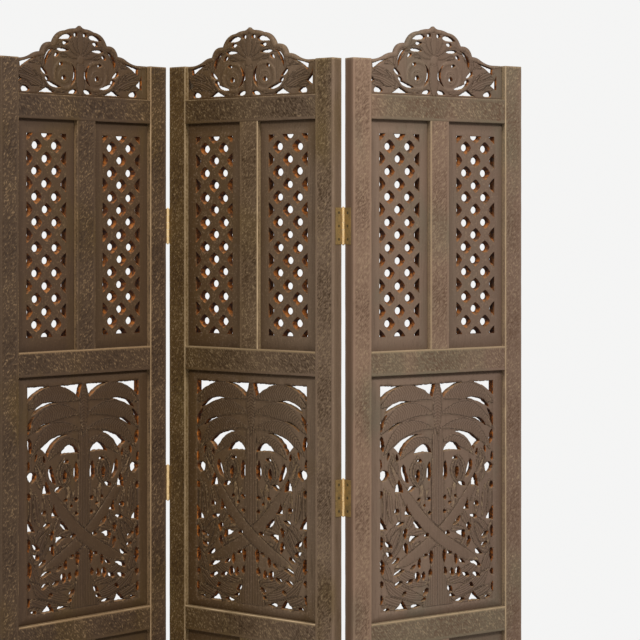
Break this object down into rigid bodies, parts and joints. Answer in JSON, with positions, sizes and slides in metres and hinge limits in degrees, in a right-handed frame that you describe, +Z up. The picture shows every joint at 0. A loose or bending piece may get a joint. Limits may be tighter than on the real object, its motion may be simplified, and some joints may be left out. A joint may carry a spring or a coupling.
{
  "type": "folding screen",
  "caption": "Free-standing folding room screen of carved and pierced wooden panels with palm-tree boards, lattice boards and scalloped crests, joined by brass butt hinges.",
  "frame": {"origin": "bottom centre of the box round the screen in its pictured zig-zag, on the floor", "axes": "+Z up along the stiles, +X to the viewer's right along the screen, +Y away from the viewer, through the screen from its front to its back"},
  "size_m": [1.2222, 0.396, 1.83],
  "materials": {
    "dark_frame": "hammered and waxed dark brown hardwood",
    "dark_board": "carved and waxed dark brown hardwood",
    "light_frame": "hammered and waxed mid brown hardwood",
    "light_board": "carved and waxed mid brown hardwood",
    "brass": "plain rolled brass, slightly dulled"
  },
  "bodies": {
    "left_panel": {"left_stile_l": "dark_frame", "left_stile_r": "dark_frame", "left_rail_bottom": "dark_frame", "left_rail_low": "dark_frame", "left_rail_mid": "dark_frame", "left_rail_top": "dark_frame", "left_muntin_low": "dark_frame", "left_muntin_up": "dark_frame", "left_lattice_low_l": "dark_board", "left_lattice_low_r": "dark_board", "left_lattice_up_l": "dark_board", "left_lattice_up_r": "dark_board", "left_palm": "dark_board", "left_crest": "dark_board", "left_seam_leaves_left": "brass", "left_seam_screws_left": "brass"},
    "middle_panel": {"middle_stile_l": "dark_frame", "middle_stile_r": "dark_frame", "middle_rail_bottom": "dark_frame", "middle_rail_low": "dark_frame", "middle_rail_mid": "dark_frame", "middle_rail_top": "dark_frame", "middle_muntin_low": "dark_frame", "middle_muntin_up": "dark_frame", "middle_lattice_low_l": "dark_board", "middle_lattice_low_r": "dark_board", "middle_lattice_up_l": "dark_board", "middle_lattice_up_r": "dark_board", "middle_palm": "dark_board", "middle_crest": "dark_board", "left_seam_pins": "brass", "left_seam_leaves_middle": "brass", "left_seam_screws_middle": "brass", "right_seam_pins": "brass", "right_seam_leaves_middle": "brass", "right_seam_screws_middle": "brass"},
    "right_panel": {"right_stile_l": "light_frame", "right_stile_r": "light_frame", "right_rail_bottom": "light_frame", "right_rail_low": "light_frame", "right_rail_mid": "light_frame", "right_rail_top": "light_frame", "right_muntin_low": "light_frame", "right_muntin_up": "light_frame", "right_lattice_low_l": "light_board", "right_lattice_low_r": "light_board", "right_lattice_up_l": "light_board", "right_lattice_up_r": "light_board", "right_palm": "light_board", "right_crest": "light_board", "right_seam_leaves_right": "brass", "right_seam_screws_right": "brass"}
  },
  "joints": [
    {"name": "left_fold", "type": "hinge", "parent": "middle_panel", "child": "left_panel", "pos_m": [-0.2396, 0.17307, 0.7], "axis": [0, 0, 1], "range_deg": [-86.6, 93.4]},
    {"name": "right_fold", "type": "hinge", "parent": "middle_panel", "child": "right_panel", "pos_m": [0.18085, -0.12234, 0.7], "axis": [0, 0, 1], "range_deg": [-75.9, 104.1]}
  ]
}
